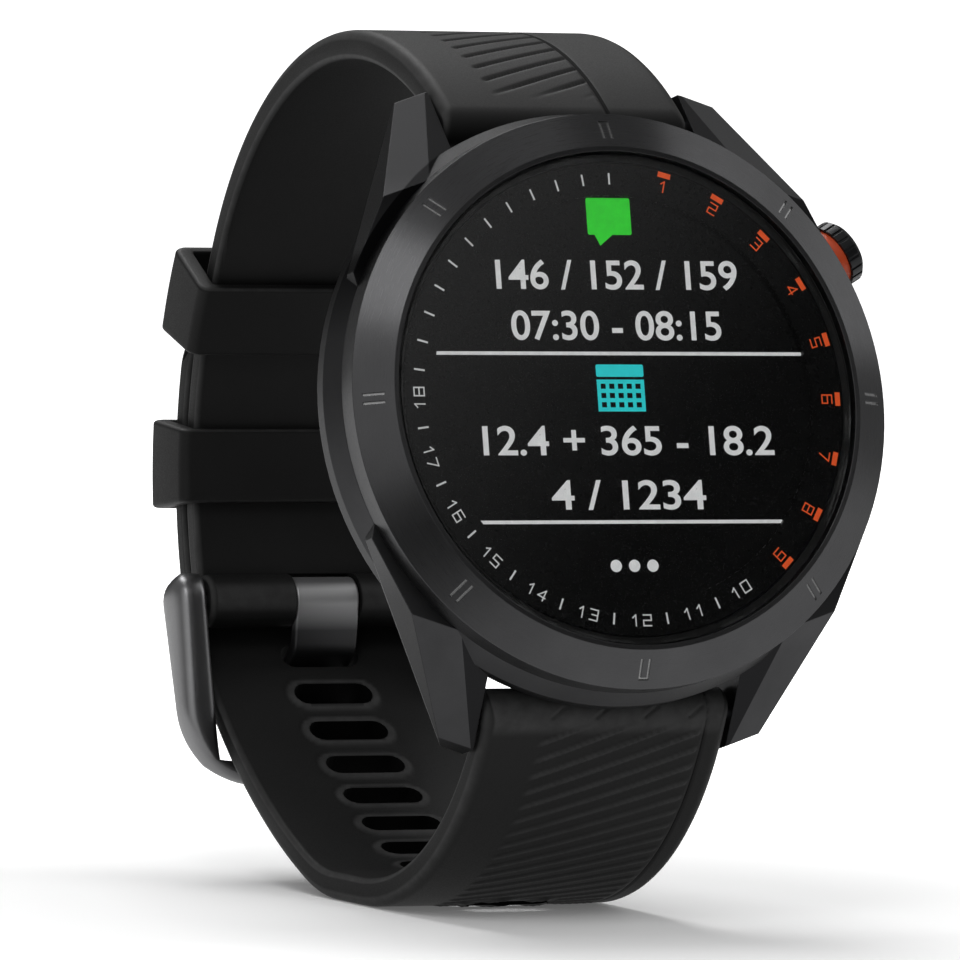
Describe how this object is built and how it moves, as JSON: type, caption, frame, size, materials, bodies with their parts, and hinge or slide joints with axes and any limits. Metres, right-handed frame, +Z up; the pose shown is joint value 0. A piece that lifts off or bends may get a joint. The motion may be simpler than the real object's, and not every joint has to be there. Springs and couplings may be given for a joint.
{
  "type": "golf gps watch",
  "caption": "Round golf GPS watch with a gunmetal bezel, touch display, side button and a black silicone strap closed by a pin buckle and keepers.",
  "frame": {"origin": "middle of the part in plan, on the surface that the strap stands on", "axes": "+Z up, the dial faces -Y and leans back, +X towards 3 o'clock"},
  "size_m": [0.0436, 0.0674, 0.0644],
  "materials": {
    "case_metal": "dark satin coating",
    "bezel_metal": "gunmetal, brushed",
    "buckle_metal": "dark satin coating",
    "strap_rubber": "matt silicone",
    "seal_rubber": "matt",
    "lens_glass": "polished, clear",
    "dial_print": "black print",
    "panel_glass": "polished",
    "dark_polymer": "fine matt",
    "board_green": "solder resist",
    "steel": "plain",
    "foil": "foil",
    "copper": "gilt",
    "orange": "anodised orange",
    "cap_black": "black, fine matt"
  },
  "bodies": {
    "watch": {"case": "case_metal", "bezel": "bezel_metal", "lens": "lens_glass", "lens_gasket": "seal_rubber", "chapter_ring": "dial_print", "display_panel": "panel_glass", "display_frame": "dark_polymer", "display_flex": "copper", "antenna_ring": "copper", "main_board": "board_green", "shield_can": "steel", "battery": "foil", "motor_can": "steel", "contact_block": "dark_polymer", "charging_contacts": "copper", "contact_insert": "dark_polymer", "rear_cover": "dark_polymer", "case_seal": "seal_rubber", "cover_screws": "steel", "button_spring": "steel", "tact_switch": "dark_polymer", "strap_upper": "strap_rubber", "strap_lower": "strap_rubber", "spring_bar_upper": "steel", "spring_bar_lower": "steel", "release_spring_upper": "steel", "release_spring_lower": "steel", "buckle_pin": "steel"},
    "button": {"button_cap": "cap_black", "button_ring": "orange", "button_stem": "steel", "button_seal": "seal_rubber", "button_clip": "steel"},
    "keeper_upper": {"keeper_upper": "strap_rubber"},
    "keeper_lower": {"keeper_lower": "strap_rubber"},
    "buckle_frame": {"buckle_frame": "buckle_metal"},
    "buckle_tang": {"buckle_tang": "buckle_metal"},
    "release_upper": {"release_pin_upper": "steel"},
    "release_lower": {"release_pin_lower": "steel"},
    "motor_rotor": {"motor_rotor": "steel"}
  },
  "joints": [
    {"name": "button_press", "type": "slide", "parent": "watch", "child": "button", "axis": [-0.866, -0.1082, -0.4881], "range_m": [0, 0.0006], "stiffness_N_per_m": 800, "springref_m": -0.001, "deforming": ["button_spring"]},
    {"name": "keeper_upper_slide", "type": "hinge", "parent": "watch", "child": "keeper_upper", "pos_m": [-0.00015, 0.00019, 0.03147], "axis": [1, 0, 0], "range_deg": [-5, 4]},
    {"name": "keeper_lower_slide", "type": "hinge", "parent": "watch", "child": "keeper_lower", "pos_m": [-0.00015, 0.00019, 0.03147], "axis": [1, 0, 0], "range_deg": [-4, 5]},
    {"name": "buckle_frame_swing", "type": "hinge", "parent": "watch", "child": "buckle_frame", "pos_m": [-0.00015, 0.02605, 0.0206], "axis": [1, 0, 0], "range_deg": [-1, 0]},
    {"name": "buckle_tang_swing", "type": "hinge", "parent": "watch", "child": "buckle_tang", "pos_m": [-0.00015, 0.02605, 0.0206], "axis": [1, 0, 0], "range_deg": [0, 2.5]},
    {"name": "release_upper_slide", "type": "slide", "parent": "watch", "child": "release_upper", "axis": [1, 0, 0], "range_m": [0, 0.0013], "stiffness_N_per_m": 400, "springref_m": -0.001, "deforming": ["release_spring_upper"]},
    {"name": "release_lower_slide", "type": "slide", "parent": "watch", "child": "release_lower", "axis": [1, 0, 0], "range_m": [0, 0.0013], "stiffness_N_per_m": 400, "springref_m": -0.001, "deforming": ["release_spring_lower"]},
    {"name": "motor_spin", "type": "hinge", "parent": "watch", "child": "motor_rotor", "pos_m": [0.01052, -0.0246, 0.03284], "axis": [0, -0.9763, 0.2164], "continuous": true}
  ]
}
